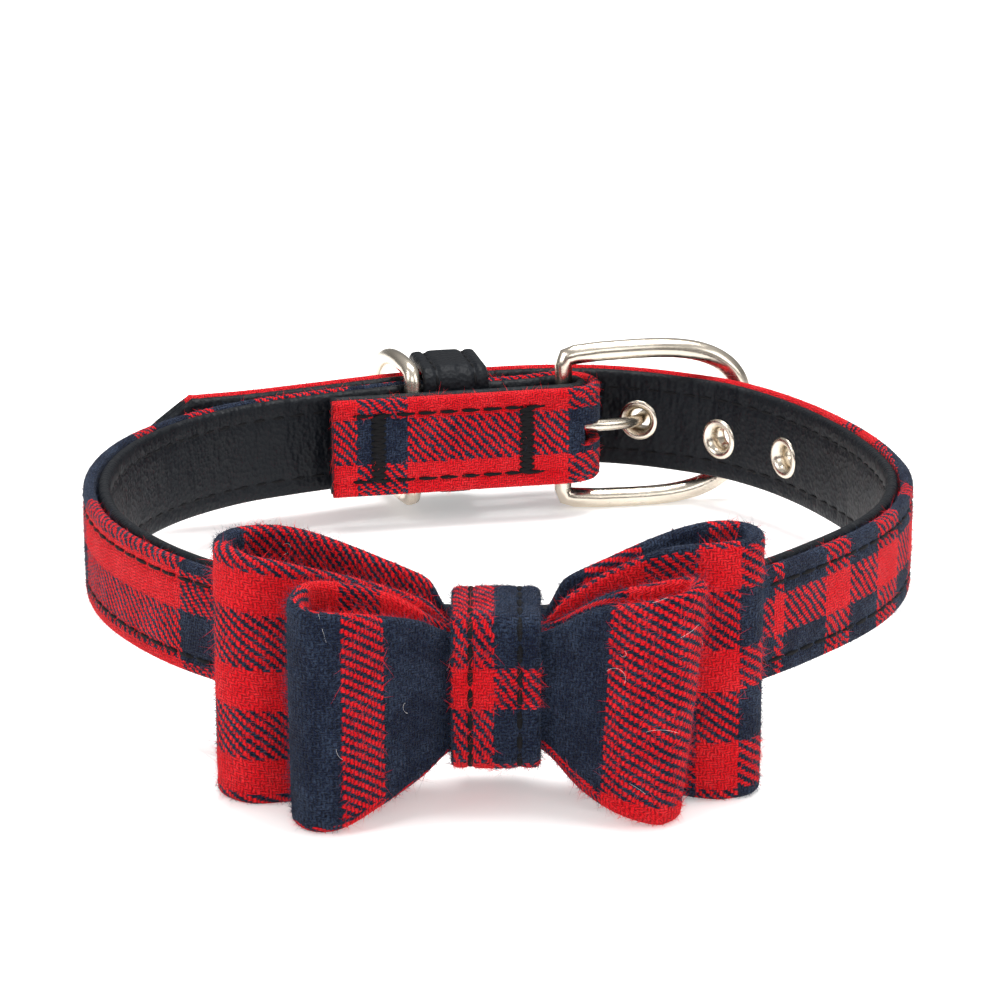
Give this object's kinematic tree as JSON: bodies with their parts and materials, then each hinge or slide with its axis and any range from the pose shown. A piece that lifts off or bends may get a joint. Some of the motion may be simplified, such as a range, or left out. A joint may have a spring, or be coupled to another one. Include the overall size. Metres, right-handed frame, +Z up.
{
  "type": "pet bow tie collar",
  "caption": "Buckled pet collar: a flannel strap lined with leather, with a double bow tie at the front, and a pin buckle, a leash ring and a keeper at the back.",
  "frame": {"origin": "middle of the collar's box in plan, on the surface it rests on", "axes": "+Z up, +Y from the bow at the front towards the buckle at the back, +X to the right seen from the bow"},
  "size_m": [0.1142, 0.1434, 0.0336],
  "materials": {
    "flannel": "brushed woven wool check",
    "black_leather": "smooth with a soft sheen",
    "nickel": "polished nickel plate"
  },
  "bodies": {
    "collar": {"strap_fabric": "flannel", "strap_lining": "black_leather", "bow_back": "flannel", "bow_front": "flannel", "bow_knot": "flannel", "keeper_loop": "black_leather", "buckle_frame": "nickel", "buckle_prong": "nickel", "eyelet_1": "nickel", "eyelet_2": "nickel", "eyelet_3": "nickel", "eyelet_4": "nickel", "eyelet_5": "nickel"},
    "ring": {"leash_ring": "nickel"}
  },
  "joints": [
    {"name": "leash_ring_swing", "type": "hinge", "parent": "collar", "child": "ring", "pos_m": [-0.01297, 0.0535, 0.013], "axis": [0, 0, 1], "range_deg": [-6, 18]}
  ]
}
